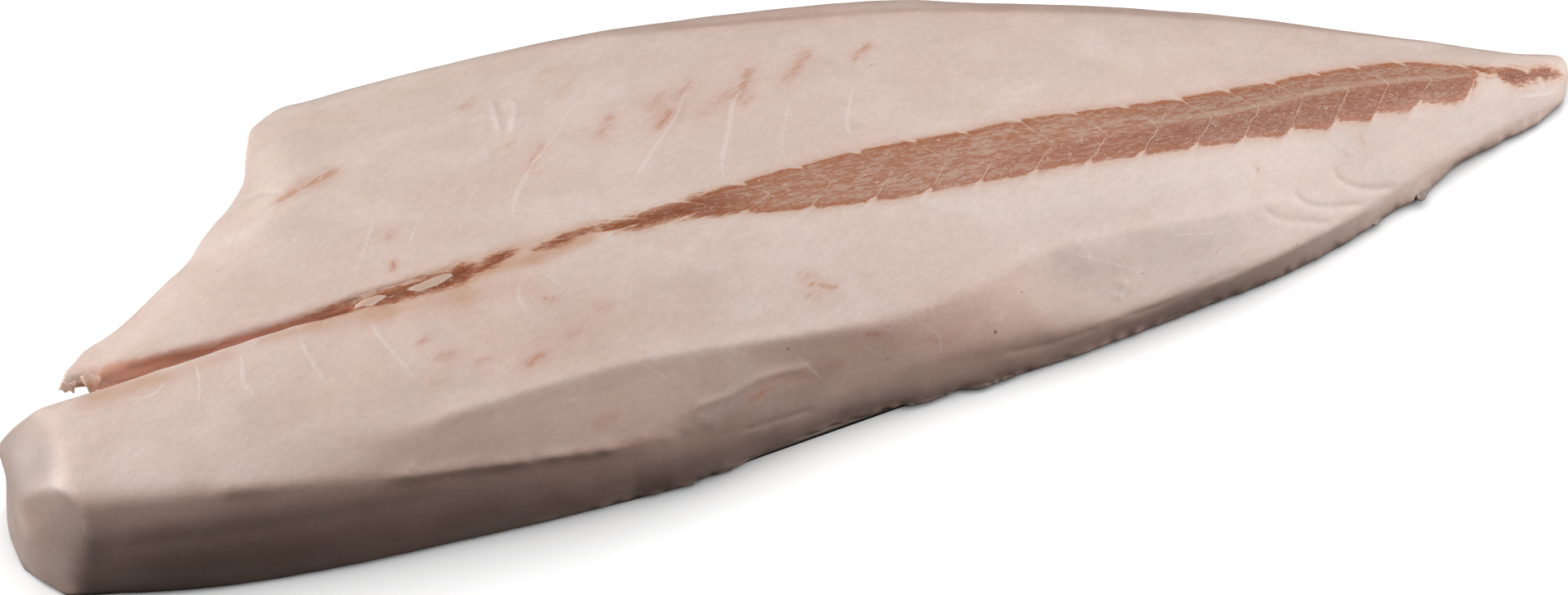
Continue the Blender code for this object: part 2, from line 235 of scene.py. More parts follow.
# Folds of the surface: a line, its height (a groove where negative) and how far
# it reaches to each side, in mm.
FOLDS = [
    (LOWER_RIDGE[2:5], 1, 6), (UPPER_RIDGE[0:5], 0.8, 8), (UPPER_RIDGE[5:9], 0.5, 8),
    (LOWER_RIDGE[8:12], 0.5, 5),
    ([(-211, -80, 59), (-196, -69, 62), (-181, -59, 64), (-160, -50, 66)], 0.9, 24),
    ([(-190, 82, 52), (-194, 65, 55), (-197, 48, 58), (-204, 35, 59), (-220, 22, 59)], 0.5, 16),
    ([(-221, 53, 46), (-217, 54, 48), (-207, 52, 52), (-202, 47, 56), (-193, 46, 58),
      (-180, 50, 58), (-158, 54, 59), (-140, 58, 59)], -0.55, 2.4),
    ([(-111, 65, 60), (-112, 54, 61), (-113, 41, 63)], 0.5, 1.9),
    ([(-105, 64, 60), (-103, 57, 61), (-106, 48, 62), (-111, 40, 63)], 0.55, 1.9),
    ([(-108, 62, 60), (-108, 52, 61), (-111, 43, 63)], -0.5, 2.2),
    ([(77, -67, 42), (95, -73, 36), (112, -78, 28)], 0.4, 12),
    ([(79, -71, 39), (122, -70, 33), (165, -68, 27)], 0.3, 9),
    ([(-84, -99, 39), (-78, -96, 42), (-65, -95, 42), (-50, -91, 43), (-28, -90, 40)], 0.7, 4),
    ([(-63, -101, 27), (-44, -99, 24), (-30, -97, 22)], -0.5, 3.5),
    ([(-306, -77, 33), (-294, -80, 39), (-250, -90, 42), (-196, -97, 42), (-165, -99, 41)], 0.5, 9),
    ([(97, -90, 18), (108, -89, 17), (119, -88, 17), (142, -84, 18), (156, -81, 17)], -0.55, 4),
    ([(47, -92, 18), (69, -93, 16), (90, -91, 17)], -0.4, 4),
    ([(-200, 101, 42), (-163, 98, 46), (-110, 94, 51), (-54, 93, 51), (0, 89, 46), (54, 81, 43),
      (105, 68, 39)], 1.4, 12),
    ([(185, -57, 30), (186, -62, 26), (195, -65, 21), (216, -64, 14)], -0.5, 3),
    ([(205, -51, 29), (206, -56, 24), (216, -60, 19), (232, -58, 12)], -0.5, 3),
    ([(167, -63, 31), (176, -68, 24), (199, -70, 15)], -0.35, 3),
    ([(-199, -20, 61), (-181, -21, 64), (-156, -21, 66), (-144, -21, 66)], -1.8, 2),
    ([(-191, -22, 62), (-177, -28, 65), (-157, -29, 66), (-149, -28, 66)], -1.6, 1.8),
    ([(-190, -24, 62), (-181, -24, 64), (-174, -24, 65)], 0.9, 2.6),
    ([(-170, -25, 65), (-161, -25, 65), (-151, -24, 66)], 1, 3),
    ([(-143, -22, 66), (-120, -22, 67), (-96, -20.5, 67), (-60, -21, 66)], -0.5, 2.4),
    ([(-235, -62, 61), (-150, -76, 62)], 0.5, 22),
]
# Loose flakes on the surface: place, radius, height.
FLAKES = [
    ((38, -41, 58), 7, 0.9), ((47, -46, 56), 6, 0.9), ((40, -50, 56), 6, 0.6),
    ((102, -81, 27), 4, 0.7), ((99, -84, 24), 3, 0.6), ((65, -69, 44), 6, 0.7),
    ((-83, -98, 41), 2.5, 0.7), ((-187, -95, 49), 3, 0.5), ((213, -48, 28), 5, 0.5),
    ((-128, -42, 67), 4, 0.4), ((88, -72, 36), 5, 0.4), ((18, -83, 44), 5, 0.4),
    ((46, -85, 33), 5, 0.3), ((-230, -50, 62), 16, 0.25), ((-252, -45, 61), 12, 0.25),
    ((-200, -45, 64), 14, 0.2), ((-205, -5, 61), 12, 0.2),
]

# Edges that stay crisp where the rest of the flesh is softened.
CRISP_EDGES = [
    LOWER_RIDGE[1:5], LOWER_RIDGE[8:], UPPER_RIDGE, BACK_RIDGE, BACK_LIP, BELLY_LIP,
    [(-297, -9, 47), (-287, 0, 47), (-265, 14, 47), (-249, 26, 47), (-236, 33, 47), (-227, 42, 47),
     (-217, 54, 46), (-209, 67, 46), (-204, 82, 45), (-197, 94, 44), (-185, 103, 43)],
]
CRISP_REACH = 10.0

# Broad patches that are lighter (or darker, where negative) than the rest, partly
# the flesh's own tone and partly painted light and painted shade: start, end,
# radius and strength.
LIGHT_SHADE_AND_TONE_PATCHES = [
    ((-290, -8, 52), (-205, 42, 54), 13, 0.9), ((-120, -60, 65), (-60, -58, 62), 14, -0.8),
    ((-230, -60, 62), (-190, -62, 63), 14, -0.5), ((130, 50, 45), (250, 10, 27), 8, -0.7),
    ((180, -2, 44), (300, -10, 20), 12, -0.8), ((20, -86, 34), (60, -78, 36), 14, 1.6),
    ((110, -82, 24), (70, -84, 28), 10, 0.8), ((-78, -98, 37), (-30, -94, 33), 8, -2.6),
    ((-60, -96, 43), (0, -90, 38), 9, -0.9), ((25, -93, 8), (60, -93, 6), 7, -0.8),
    ((-325, -55, 26), (-314, -62, 49), 8, 5), ((-305, -77, 32), (-312, -76, 12), 6.5, -4.5),
    ((-290, -84, 20), (-170, -98, 16), 12, -1.6), ((-85, -102, 20), (-50, -100, 18), 8, -3.6),
    ((205, -45, 33), (225, -58, 20), 12, -0.5), ((215, -40, 30), (300, -30, 12), 14, -1),
    ((-143, -103, 5), (-112, -104, 4), 3.5, 2.5), ((-10, 82, 50), (90, 60, 47), 4, 0.5),
]

# Painted shade: flesh tinted warmer and darker, as shade looks on flesh: start, end, radius and
# strength.
SHADE_WARMTH_MARKS = [
    ((-145, -62, 65), (-70, -66, 63), 17, 0.36), ((-215, -60, 62), (-195, -62, 63), 12, 0.2),
    ((-30, 82, 52), (120, 52, 46), 5, 0.35), ((-180, 84, 52), (-60, 86, 57), 8, 0.2),
]

# Torn tissue at the back lobe's tip: the line it hangs from and its free edge.
TIP_ROOT = [(-300.4, -12.6, 48.4), (-298.6, -13.2, 48), (-296.8, -13.5, 48.2),
            (-295.2, -13.5, 48.8)]
TIP_EDGE = [(-302.4, -14.2, 46.6), (-301, -14.8, 47), (-299.9, -15.4, 45.6),
            (-298.8, -15.4, 46.2), (-297.7, -15.4, 45.4), (-296.9, -15.4, 44),
            (-296.2, -15, 46.6), (-295.4, -14.4, 48)]
# The curl beside it, in the same way.
CURL_ROOT = [(-289.4, -12.4, 50.8), (-286.6, -14.6, 48.6), (-287, -14.8, 46),
             (-288.8, -14.8, 42.6)]
CURL_EDGE = [(-293.2, -13.4, 50.4), (-292.6, -15.8, 48.6), (-291.7, -15.9, 45.4),
             (-291.3, -15.2, 42)]
# How thick each leaf of torn tissue is where it hangs, how it swells on the way
# to its edge and how much it wavers; then those of the flaps along the foot.
TIP_FORM = (1.4, (0, -0.3, 0), 0.1)
CURL_FORM = (1.2, (-0.3, -1.0, 0.5), 0.15)
FLAP_FORM = (1.1, (0, -0.2, 0.4), 0.6)
# The share of its thickness that a leaf loses on the way to its edge.
LEAF_THINNING = 0.75

# The line where the belly side meets the floor, how far its foot spreads beyond
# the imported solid, and the loose flaps along it: place along X, height, half
# length and how far each stands off.
FOOT = [(-250, -94), (-110, -103), (-40, -98), (30, -92.5), (95, -93), (150, -85), (197, -74),
        (235, -61), (280, -46), (318, -34)]
FOOT_SPREAD = [(-105, 0), (-90, 2), (-70, 2), (-50, 0), (-20, -1.6), (0, 0), (14, 1.6), (33, 2.4),
               (53, 2.2), (74, 0.4), (95, -1.6), (118, -1.2), (140, -0.2), (163, 1.6), (187, 2.6),
               (211, 3.4), (230, 2.8), (246, 3.8), (262, 0), (275, 0), (290, 1.3), (307, 2.4),
               (318, 0)]
FLAPS = [(-82, 2.4, 4, 0.9), (-66, 2.2, 3, 0.9), (18, 2.2, 11, 1.4), (43, 2.4, 12, 2),
         (244, 4.4, 3.4, 3), (221, 3, 2.2, 1.2)]

# The belly side's wall towards the tail: how hollow it is, and how much painted shade darkens it.
SIDE_HOLLOW = 0.9
SIDE_SHADE = 3.4
# The stretch of the lower ridge that the knife left ragged.
RAGGED_EDGE = [(-180, -97, 47), (-140, -100, 43), (-100, -103, 38), (-70, -101, 34),
               (-50, -99, 31)]
RAGGED_REACH = 5.0
# How far the muscle's lower edge steps out at each chevron towards the tail.
STEP_DEPTH = 1.5
# Where the shape is drawn out or in: place, reach and the way it moves, in mm.
TIP_PULLS = [((-290, 1, 45), 9, (-2.8, 2.6, 0)), ((-297, -7, 46.5), 6, (-3.2, 0, 0)),
             ((-297, -13, 43), 6, (0, 0, 4.2)), ((-293, -14, 42), 3, (0, 0, 3))]
# How far the back lobe's tip is cut in under itself, and how far its lip drops.
TIP_UNDERCUT = 12.0
TIP_LIP_DROP = 3.2
CORNER_PULLS = [
    ((-320, -68, 0), 17, (-4.5, -1, 0)), ((-331, -38, 4), 13, (-3, -1, 0)),
    ((-321, -29, 43), 15, (-3.2, 0, 0)), ((-197, 97, 43), 15, (-3.2, 1.5, 0)),
    ((-231, 41, 46), 16, (-2.6, 2.6, 0)), ((326, -13, 10), 9, (3.4, 0.2, 0.2)),
    ((324, -23, 7), 7, (1.8, 0, 0)),
]
# The facet that cuts the head end's corner: its outward direction, how far
# along that it lies, and how softly it meets the flesh around it.
FACET_NORMAL = (-0.749, -0.629, 0.208)
FACET_PLACE = 285.6
FACET_SOFTNESS = 0.5

# Points along and across each leaf of torn tissue, the spacing of the points on
# a fine line, and the height below which a point belongs to the underside.
LEAF_COLUMNS = 40
LEAF_ROWS = 8
LINE_STEP = 1.6
UNDERSIDE = 1.5
# How much coarser the mesh may get on the underside and the back.
UNDERSIDE_COARSER = 1.0
BACK_COARSER = 0.5

# The point that the camera looks at, in m, the floor's half size and how far it
# lies under the loin, and how bright the backdrop is.
LOOKED_AT = (-0.02335, -0.0387, 0.02)
FLOOR_SIZE = 4.0
FLOOR_GAP = 0.0004
BACKDROP_STRENGTH = 0.9
# Lamps: name, bearing (0 is right and 90 is back, as the camera sees it) and
# height in degrees, distance and size in m, the setting of its power and what
# it lights.
LAMPS = [
    ("left softbox", 185, 20, 2.2, 0.8, "left_power", "loin"),
    ("near right softbox", -20, 30, 1.6, 0.8, "near_power", "loin"),
    ("right softbox", 5, 30, 1.6, 0.8, "right_power", "loin"),
    ("far right softbox", 30, 55, 1.6, 0.8, "far_power", "loin"),
    ("floor lamp", 0, 90, 2.5, 5.0, "floor_power", "floor"),
]


# ---------------------------------------------------------------- settings


class LoinShapeSettings(PropertyGroup):
    grain: FloatProperty(
        name="Grain", description="Size of the mesh's faces on the surfaces that show",
        default=0.00138,
        min=0.0008,
        unit="LENGTH",
    )
    softening: IntProperty(
        name="Softening",
        description="Rounds of smoothing that turn the packed solid's facets into soft flesh",
        default=12,
    )
    broad_softening: IntProperty(
        name="Broad softening",
        description="Further rounds of smoothing for the flesh between its edges",
        default=70,
    )
    faces_kept: FloatProperty(
        name="Faces kept",
        description="Share of the faces that stays when hidden surfaces are made coarser",
        default=0.55,
        min=0.3,
        max=1.0,
        subtype="FACTOR",
    )


class LoinColourSettings(PropertyGroup):
    flesh: FloatVectorProperty(
        name="Flesh", description="Colour of the trimmed white flesh",
        default=(0.70, 0.555, 0.49), size=3, subtype="COLOR",
    )
    muscle: FloatVectorProperty(
        name="Dark muscle", description="Main colour of the dark muscle",
        default=(0.43, 0.225, 0.15), size=3, subtype="COLOR",
    )
    rim: FloatVectorProperty(
        name="Muscle rim", description="Red-brown of the dark muscle's fibres and edges",
        default=(0.39, 0.135, 0.058), size=3, subtype="COLOR",
    )
    pith: FloatVectorProperty(
        name="Muscle flecks", description="Pale beige between the dark muscle's fibres",
        default=(0.52, 0.335, 0.255), size=3, subtype="COLOR",
    )
    stain: FloatVectorProperty(
        name="Stains", description="Colour of the reddish streaks on the flesh",
        default=(0.53, 0.24, 0.14), size=3, subtype="COLOR",
    )
    wall_top: FloatVectorProperty(
        name="Slit under its lips", description="Colour of the slit's walls just under the lips",
        default=(0.68, 0.37, 0.26), size=3, subtype="COLOR",
    )
    # Painted light: the slit's lower walls are paler than the flesh, standing in for light that
    # shines through the flesh.
    wall: FloatVectorProperty(
        name="Slit", description="Colour of the slit's walls further down",
        default=(0.86, 0.60, 0.50), size=3, subtype="COLOR",
    )
    tissue: FloatVectorProperty(
        name="Torn tissue", description="Greyish white of the thin torn tissue",
        default=(0.66, 0.52, 0.45), size=3, subtype="COLOR",
    )
    flap: FloatVectorProperty(
        name="Foot flaps", description="Grey brown of the loose flaps along the foot",
        default=(0.22, 0.16, 0.13), size=3, subtype="COLOR",
    )
    amber: FloatVectorProperty(
        name="Amber tint", description="Tint of the flesh beside the slit and the dark muscle",
        default=(0.60, 0.37, 0.26), size=3, subtype="COLOR",
    )


class StageSettings(PropertyGroup):
    view_angle: FloatProperty(
        name="View angle",
        description="How far the camera is turned to the left of the loin's front",
        default=math.radians(-19), subtype="ANGLE",
    )
    view_height: FloatProperty(
        name="View height", description="How steeply the camera looks down",
        default=math.radians(50), subtype="ANGLE",
    )
    view_distance: FloatProperty(
        name="View distance", description="Distance from the camera to the point it looks at",
        default=1.45, unit="LENGTH",
    )
    lens: FloatProperty(
        name="Lens", description="Focal length in millimetres",
        default=85.0,
    )
    left_power: FloatProperty(
        name="Left lamp", description="Power of the low softbox beyond the head end",
        default=54.0, unit="POWER",
    )
    near_power: FloatProperty(
        name="Near right lamp", description="Power of the softbox in front of the tail end",
        default=7.1, unit="POWER",
    )
    right_power: FloatProperty(
        name="Right lamp", description="Power of the softbox beyond the tail end",
        default=11.3, unit="POWER",
    )
    far_power: FloatProperty(
        name="Far right lamp", description="Power of the high softbox behind the tail end",
        default=9.8, unit="POWER",
    )
    floor_power: FloatProperty(
        name="Floor lamp", description="Power of the overhead lamp that lights only the floor",
        default=190.0, unit="POWER",
    )


# ---------------------------------------------------------------- mesh work


def gathered(items, what, width, kind=np.float32):
    values = np.empty(len(items) * width, kind)
    items.foreach_get(what, values)
    return values.reshape(-1, width)


def mesh_points(mesh):
    return gathered(mesh.vertices, "co", 3).astype(float)


def mesh_normals(mesh):
    return gathered(mesh.vertex_normals, "vector", 3).astype(float)


def mesh_edges(mesh):
    return gathered(mesh.edges, "vertices", 2, np.int32)


def set_mesh_points(mesh, points):
    mesh.vertices.foreach_set("co", points.astype(np.float32).ravel())
    mesh.update()


def placed(name, data):
    made = bpy.data.objects.new(name, data)
    bpy.context.scene.collection.objects.link(made)
    return made


def applied(piece):
    """A piece's mesh with its modifiers applied; the piece itself goes."""
    depsgraph = bpy.context.evaluated_depsgraph_get()
    mesh = bpy.data.meshes.new_from_object(piece.evaluated_get(depsgraph))
    bpy.data.objects.remove(piece, do_unlink=True)
    return mesh


def smoothed(points, edges, rounds, share=0.5):
    """Points drawn towards the middle of their neighbours, by a share of the
    way that may differ from point to point."""
    count = len(points)
    ends = np.concatenate([edges[:, 0], edges[:, 1]])
    others = np.concatenate([edges[:, 1], edges[:, 0]])
    degree = np.bincount(ends, minlength=count).clip(1)
    for _ in range(rounds):
        middle = np.stack(
            [np.bincount(ends, points[others, k], count) / degree for k in range(3)], 1
        )
        points = points + (middle - points) * share
    return points


def ramp(values, low, high):
    """0 below low, 1 above high, and a smooth step between them."""
    t = ((values - low) / (high - low)).clip(0, 1)
    return t * t * (3 - 2 * t)


def height_of(line, x):
    """The second number of a line of (x, value) knots, at each x."""
    knots = np.array(line, float)
    return np.interp(x, knots[:, 0], knots[:, 1])


def swells(points, size, seed):
    """Smooth noise between -1 and 1 whose bumps are about size mm wide."""
    shift = Vector((seed * 17.3, seed * 5.1, seed * 9.7))
    return np.array([noise.noise(Vector(p) / size + shift) for p in points.tolist()])


def through(knots, step=LINE_STEP):
    """Points every few mm on a smooth curve through a line's knots."""
    knots = np.array(knots, float)
    padded = np.vstack([2 * knots[0] - knots[1], knots, 2 * knots[-1] - knots[-2]])
    points = []
    for before, here, there, after in zip(padded, padded[1:], padded[2:], padded[3:]):
        steps = max(1, int(np.linalg.norm(there - here) / step))
        for k in range(steps):
            t = k / steps
            points.append(0.5 * (
                2 * here + (there - before) * t
                + (2 * before - 5 * here + 4 * there - after) * t**2
                + (3 * here - before - 3 * there + after) * t**3
            ))
    points.append(knots[-1])
    return np.array(points)


def laid_on(surface, line):
    """A line's points, each moved to the nearest point of a surface."""
    laid = [surface.closest_point_on_mesh(Vector(p) * MM)[1] / MM for p in line]
    return np.array([list(p) for p in laid])


def near_line(points, line, reach):
    """The points within reach of a line: their numbers, their distances to it
    and how far along it the nearest place is, from 0 to 1."""
    close = np.nonzero(
        ((points > line.min(0) - reach) & (points < line.max(0) + reach)).all(1)
    )[0]
    local = points[close]
    gap = np.full(len(close), float(reach))
    along = np.zeros(len(close))
    for k, (start, end) in enumerate(zip(line, line[1:])):
        side = end - start
        t = ((local - start) @ side / max(side @ side, 1e-9)).clip(0, 1)
        away = np.linalg.norm(local - start - t[:, None] * side, axis=1)
        nearer = away < gap
        gap[nearer] = away[nearer]
        along[nearer] = (k + t[nearer]) / (len(line) - 1)
    return close, gap, along


def faded(along, share=0.14):
    """1 along a line, running out to 0 at both of its ends."""
    return ramp(np.minimum(along, 1 - along), 0, share)


def depth_inside(x, y, outline):
    """How deep each place lies inside an outline; negative outside."""
    corners = np.array(outline, float)
    gap = np.full(len(x), 1e9)
    inside = np.zeros(len(x), bool)
    for start, end in zip(corners, np.roll(corners, -1, 0)):
        side = end - start
        t = (((x - start[0]) * side[0] + (y - start[1]) * side[1]) / (side @ side)).clip(0, 1)
        gap = np.minimum(gap, np.hypot(x - start[0] - t * side[0], y - start[1] - t * side[1]))
        spans = (start[1] > y) != (end[1] > y)
        rise = np.where(abs(side[1]) > 1e-9, side[1], 1e-9)
        inside ^= spans & (x < start[0] + (y - start[1]) * side[0] / rise)
    return np.where(inside, gap, -gap)


def store(mesh, name, values):
    layer = mesh.attributes.new(name, "FLOAT", "POINT")
    layer.data.foreach_set("value", values.astype(np.float32))


# ---------------------------------------------------------------- the flesh
# The numbers in the ramps below are places in mm along X, Y or Z, or shares.


def slit_bridge():
    """The tissue that closes the slit's narrow end, as a closed mesh."""
    work = bmesh.new()
    rings = []
    for x, top in BRIDGE_TOP:
        y = float(height_of(SLIT_MIDDLE, x))
        rings.append([
            work.verts.new((x * MM, (y + side) * MM, z * MM))
            for side, z in (
                (-BRIDGE_HALF_WIDTH, BRIDGE_BOTTOM), (BRIDGE_HALF_WIDTH, BRIDGE_BOTTOM),
                (BRIDGE_HALF_WIDTH, top), (-BRIDGE_HALF_WIDTH, top),
            )
        ])
    for ring, following in zip(rings, rings[1:]):
        for i in range(4):
            j = (i + 1) % 4
            work.faces.new((ring[i], ring[j], following[j], following[i]))
    work.faces.new(rings[0])
    work.faces.new(rings[-1])
    bmesh.ops.recalc_face_normals(work, faces=work.faces)
    return work


def remeshed(node, size):
    """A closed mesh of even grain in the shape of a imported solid, with the
    slit's narrow end bridged."""
    solid = placed("solid", node.data.copy())
    work = slit_bridge()
    work.from_mesh(solid.data)
    bmesh.ops.remove_doubles(work, verts=work.verts, dist=1e-6)
    work.to_mesh(solid.data)
    work.free()
    grain = solid.modifiers.new("grain", "REMESH")
    grain.mode = "VOXEL"
    grain.voxel_size = size
    return applied(solid)


def softness(points):
    """How much further each place may be softened: 0 near the crisp edges, in
    the slit and at the foot, 1 away from them."""
    x, y, z = points.T
    gap = np.full(len(points), CRISP_REACH)
    for knots in CRISP_EDGES:
        close, near, _ = near_line(points, through(knots, 4.0), CRISP_REACH)
        gap[close] = np.minimum(gap[close], near)
    soft = ramp(gap, 1.5, CRISP_REACH) * ramp(z, 2, 7)
    in_slit = (x < -95) & (np.abs(y - height_of(SLIT_MIDDLE, x)) < 9)
    return np.where(in_slit, 0, soft)


def lightened(mesh, share):
    """The mesh with few faces on its flat underside and fewer on its back wall,
    which looks backwards and lies below 36 mm."""
    piece = placed("lightened", mesh)
    group = piece.vertex_groups.new(name="hidden")
    points, normals = mesh_points(mesh), mesh_normals(mesh)
    flat = points[:, 2] < UNDERSIDE * MM
    back = ~flat & (normals[:, 1] > 0.55) & (normals[:, 2] < 0.4) & (points[:, 2] < 0.036)
    group.add(np.nonzero(flat)[0].tolist(), UNDERSIDE_COARSER, "REPLACE")
    group.add(np.nonzero(back)[0].tolist(), BACK_COARSER, "REPLACE")
    fewer = piece.modifiers.new("fewer", "DECIMATE")
    fewer.ratio = share
    fewer.vertex_group = group.name
    return applied(piece)


def even_back(mesh):
    """Smooths the back's wall, where the coarser faces would show."""
    points = mesh_points(mesh)
    height = points[:, 2] / MM
    back = ramp(mesh_normals(mesh)[:, 1], 0.4, 0.6) * ramp(height, 5, 8) * ramp(-height, -40, -36)
    set_mesh_points(mesh, smoothed(points, mesh_edges(mesh), 4, 0.5 * back[:, None]))


def belly_side(y, z):
    """1 on the belly side, 0 elsewhere."""
    return ramp(-y - 0.2 * z, 25, 45)


def relief(points, surface):
    """How far each point moves outwards, in mm, to make the flesh's folds,
    flakes and swells."""
    x, y, z = points.T
    # Broad, middle and fine swells; the finer ones are flatter at the head end.
    lively = 0.4 + 0.6 * ramp(x, -240, -120)
    move = swells(points, 42, 1) * 0.45 + swells(points, 15, 2) * 0.16 * lively
    move += swells(points * (0.35, 1, 1), 5, 3) * 0.07 * lively
    for knots, height, width in FOLDS:
        line = laid_on(surface, through(knots, 3.0))
        close, gap, along = near_line(points, line, width)
        reach = gap / width
        profile = (1 - reach) ** 2 if width <= 8 else (1 - reach**2) ** 2
        move[close] += height * profile * faded(along)
    for place, radius, height in FLAKES:
        gap = np.linalg.norm(points - place, axis=1)
        close = np.nonzero(gap < radius)[0]
        wrinkles = swells(points[close], 2.6, 5) + 0.6 * swells(points[close], 1.5, 6)
        move[close] += height * np.abs(wrinkles) * ramp(1 - gap[close] / radius, 0, 0.6)
    # The belly side's foot is the most uneven.
    side = belly_side(y, z)
    foot = ramp(-z, -9, -3) * side * ramp(x, -150, -100)
    move += foot * 0.9 * swells(np.stack([x, z * 0.6, 0 * x], 1), 4, 8)
    close, gap, along = near_line(points, through(RAGGED_EDGE, 3.0), RAGGED_REACH)
    ragged = 0.5 * swells(points[close], 6.0, 9) * (1 - gap / RAGGED_REACH)
    move[close] += ragged * faded(along, 0.3)
    # Towards the tail the belly side falls straight from its ridge to the floor.
    top = height_of(RIDGE_HEIGHT, x)
    rise = (z / top).clip(0, 1.4)
    hollow = np.sin(np.pi * (rise / 1.15).clip(0, 1)) ** 1.3
    hollow *= SIDE_HOLLOW * (top / 20) * ramp(x, -20, 50) * ramp(-x, -250, -190)
    move -= hollow * side
    return move * ramp(z, 0.8, 3.5)


def pulled(points, pulls, share):
    """How far each point moves when some places are drawn out or in."""
    shift = np.zeros(points.shape)
    for place, reach, pull in pulls:
        near = np.exp(-(np.linalg.norm(points - place, axis=1) / reach) ** 2)
        shift += np.outer(near * share, pull)
    return shift


def corners_moved(points):
    """Draws the corners and the belly side's foot out to where they show, the
    back lobe's torn tip in under itself and the slit's back lip forward."""
    x, y, z = points.T
    # The back lobe's tip.
    under = ramp(-x, 266, 297) * ramp(47.5 - z, 0, 4) * ramp(y, -21, -17) * ramp(6 - y, 0, 10)
    shift = np.outer(under, (TIP_UNDERCUT, 0, 0))
    shift += pulled(points, TIP_PULLS, ramp(y, -17.5, -13))
    shift += pulled(points, CORNER_PULLS, np.ones(len(points)))
    tip_lip = TIP_LIP_DROP * ramp(-x, 262, 288) * ramp(-y, 9, 14)
    shift[:, 2] -= tip_lip * ramp(y, -17.5, -15) * ramp(z, 44, 48)
    # The slit's back lip.
    wall = height_of(BACK_WALL, x)
    lip = np.clip((y - BELLY_WALL) / (wall - BELLY_WALL), 0, 1)
    lip *= ramp(wall + 18 - y, 0, 14) * ramp(z, 28, 52)
    shift[:, 1] -= height_of(SLIT_CLOSING, x) * lip
    # The belly side's foot.
    low = 1 - ramp(z / height_of(RIDGE_HEIGHT, x), 0.25, 1.0)
    near_foot = ramp(height_of(FOOT, x) - y, -16, -3)
    shift[:, 1] -= height_of(FOOT_SPREAD, x) * low * near_foot
    # The facet at the head end's corner.
    moved = points + shift
    facet = np.array(FACET_NORMAL) / np.linalg.norm(FACET_NORMAL)
    beyond = moved @ facet - FACET_PLACE
    kept = -FACET_SOFTNESS * np.logaddexp(0, -beyond / FACET_SOFTNESS)
    cut = np.where(x < -280, kept - beyond, 0.0) * ramp(z, 0, 3)
    return moved + np.outer(cut, facet)


def deepest(x, y, outlines):
    """How deep each place lies inside the outline that holds it best, in mm."""
    return np.max([depth_inside(x, y, outline) for outline in outlines], axis=0)


def mark_muscle(mesh, points):
    """Stores where the dark muscle lies, and how its chevrons run."""
    x, y, z = points.T
    seam = height_of(MUSCLE_SEAM, x)
    upper = (y - seam) / (height_of(MUSCLE_TOP, x) - seam).clip(1)
    lower = (y - seam) / (seam - height_of(MUSCLE_LOW, x)).clip(1)
    across = np.where(y > seam, upper, lower).clip(-2.5, 2.5)
    arm = np.where(across > 0, UPPER_ARM, LOWER_ARM) * np.abs(across).clip(0, 1.4)
    tips = [CHEVRONS_START, *CHEVRON_TIPS]
    tips += [tips[-1] + CHEVRON_SPACING_AT_TAIL * k for k in (1, 2, 3, 4)]
    segment = np.interp(x + arm, tips, [-0.5, *range(len(tips) - 1)])
    above = z > 0.55 * height_of(TOP_HEIGHT, x)
    band = MUSCLE_TOP + MUSCLE_LOW[::-1]
    for name, outlines in ("muscle_depth", [band, *MUSCLE_PATCHES]), ("membrane", MEMBRANES):
        store(mesh, name, np.where(above, deepest(x, y, outlines), -30.0).clip(-30, 30))
    store(mesh, "muscle_across", across)
    store(mesh, "chevron", segment)
    steps = (2 * (segment % 1) - 1) * STEP_DEPTH * ramp(x, 130, 200) * ramp(-across, 0.3, 0.7)
    store(mesh, "muscle_step", steps * ramp(-x, -262, -254))
    dark = ramp(-x, 0, 72) + 0.8 * ramp(x, 276, 290)
    below = ramp(-across, -0.06, 0.06) * (1 - 0.35 * ramp(-across, 0.2, 0.9))
    store(mesh, "muscle_dark", np.maximum(dark, 0.35 * ramp(x, 62, 105) * below).clip(0, 1))
    store(mesh, "muscle_low", ramp(-across, -0.06, 0.25) * ramp(x, 40, 110) * ramp(-x, -290, -270))
    store(mesh, "muscle_tail", ramp(x, 100, 160))
    store(mesh, "muscle_pale", ramp(x, 110, 190) * ramp(0.16 - np.abs(across - 0.14), 0, 0.12))


def mark_slit(mesh, points):
    """Stores how deep each place lies in the slit, in mm, and where the back lobe's thin tip gets
    painted light.
    """
    x, y, z = points.T
    middle = height_of(SLIT_MIDDLE, x)
    back = np.array(BACK_LIP, float)[:, ::2]
    belly = np.array(BELLY_LIP, float)[:, ::2]
    lip = np.where(y > middle, height_of(back, x), height_of(belly, x))
    within = np.abs(y - middle) < height_of(SLIT_HALF_WIDTH, x) + 2.2
    facing = np.abs(mesh_normals(mesh)[:, 1])
    within &= (x < -189) & (x > -304) & ((x > -268) | (facing > 0.5))
    store(mesh, "slit_depth", np.where(within, lip - z, -5.0).clip(-5, 40))
    # Painted light: the back lobe's thin tip is lighter, standing in for light shining through it.
    store(mesh, "thin", ramp(-x, 280, 294))


def soft_marks(points, marks, surface):
    """A field that is strong on each mark, a rounded bar, and fades around it."""
    field = np.zeros(len(points))
    for start, end, radius, strength in marks:
        line = laid_on(surface, np.array([start, end], float))
        close, gap, _ = near_line(points, line, radius * 2.6)
        field[close] += strength * np.exp(-((gap / radius) ** 2))
    return field


